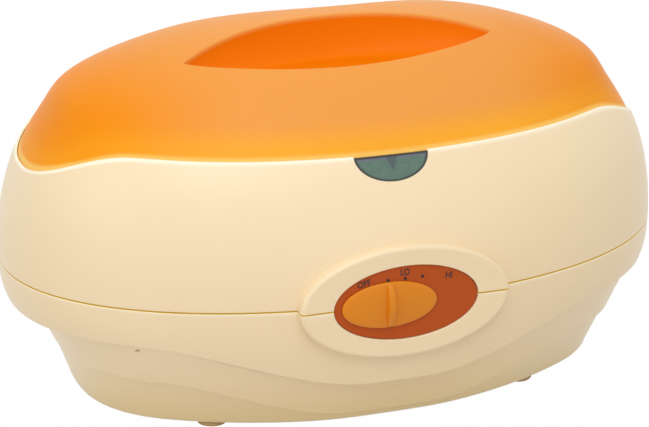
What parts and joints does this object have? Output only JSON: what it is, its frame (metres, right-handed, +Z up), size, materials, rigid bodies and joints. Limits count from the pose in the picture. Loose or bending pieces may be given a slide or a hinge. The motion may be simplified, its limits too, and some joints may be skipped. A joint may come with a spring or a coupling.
{
  "type": "paraffin bath",
  "caption": "Oval heated wax bath with aluminium tank, two-part housing, slide control and lift-off lid with finger scoops.",
  "frame": {"origin": "on the table under the middle of the object's box", "axes": "+X to the right seen from the front, along the long side; -Y to the front with the control; +Z up"},
  "size_m": [0.378, 0.2488, 0.2068],
  "materials": {
    "cream_plastic": "satin moulded cream plastic",
    "lid_plastic": "translucent orange moulding, fine satin",
    "plate_plastic": "satin rust plastic",
    "knob_plastic": "satin orange plastic",
    "lens_plastic": "smoked green clear plastic",
    "tank_aluminium": "drawn aluminium",
    "plated_steel": "zinc plated steel",
    "silicone": "silicone rubber",
    "grate_plastic": "heat-proof white plastic",
    "mica": "mica sheet heater",
    "glass_felt": "woven glass felt",
    "thermostat_body": "phenolic",
    "black_plastic": "black moulded plastic",
    "board": "laminate board",
    "lamp_glass": "small neon lamp",
    "foot_rubber": "soft rubber"
  },
  "bodies": {
    "root": {"upper_housing": "cream_plastic", "lower_housing": "cream_plastic", "control_plate": "plate_plastic", "indicator_lens": "lens_plastic", "tank": "tank_aluminium", "tank_gasket": "silicone", "insulation_blanket": "glass_felt", "bath_grate": "grate_plastic", "heater_plate": "mica", "heater_clamp": "plated_steel", "thermostat_low": "thermostat_body", "thermostat_high": "thermostat_body", "thermal_fuse": "glass_felt", "fuse_clip": "plated_steel", "heat_shield": "plated_steel", "slide_switch": "black_plastic", "switch_bracket": "plated_steel", "bracket_screw_left": "plated_steel", "bracket_screw_right": "plated_steel", "lamp_board": "board", "power_lamp": "lamp_glass", "ready_lamp": "lamp_glass", "cord_gland": "black_plastic", "gland_nut": "black_plastic", "terminal_block": "black_plastic", "switch_wire": "black_plastic", "heater_wire": "glass_felt", "lamp_wire": "black_plastic", "heater_stud_1": "plated_steel", "heater_nut_1": "plated_steel", "heater_stud_2": "plated_steel", "heater_nut_2": "plated_steel", "heater_stud_3": "plated_steel", "heater_nut_3": "plated_steel", "heater_stud_4": "plated_steel", "heater_nut_4": "plated_steel", "foot_front_left": "foot_rubber", "housing_screw_front_left": "plated_steel", "foot_front_right": "foot_rubber", "housing_screw_front_right": "plated_steel", "foot_back_left": "foot_rubber", "housing_screw_back_left": "plated_steel", "foot_back_right": "foot_rubber", "housing_screw_back_right": "plated_steel"},
    "slider": {"slide_knob": "knob_plastic", "slider_carriage": "black_plastic", "switch_lever": "black_plastic"},
    "lid": {"lid": "lid_plastic"}
  },
  "joints": [
    {"name": "slider_travel", "type": "slide", "parent": "root", "child": "slider", "axis": [1, 0, 0], "range_m": [0, 0.0192]},
    {"name": "lid_lift", "type": "slide", "parent": "root", "child": "lid", "axis": [0, 0, 1], "range_m": [0, 0.15]}
  ]
}
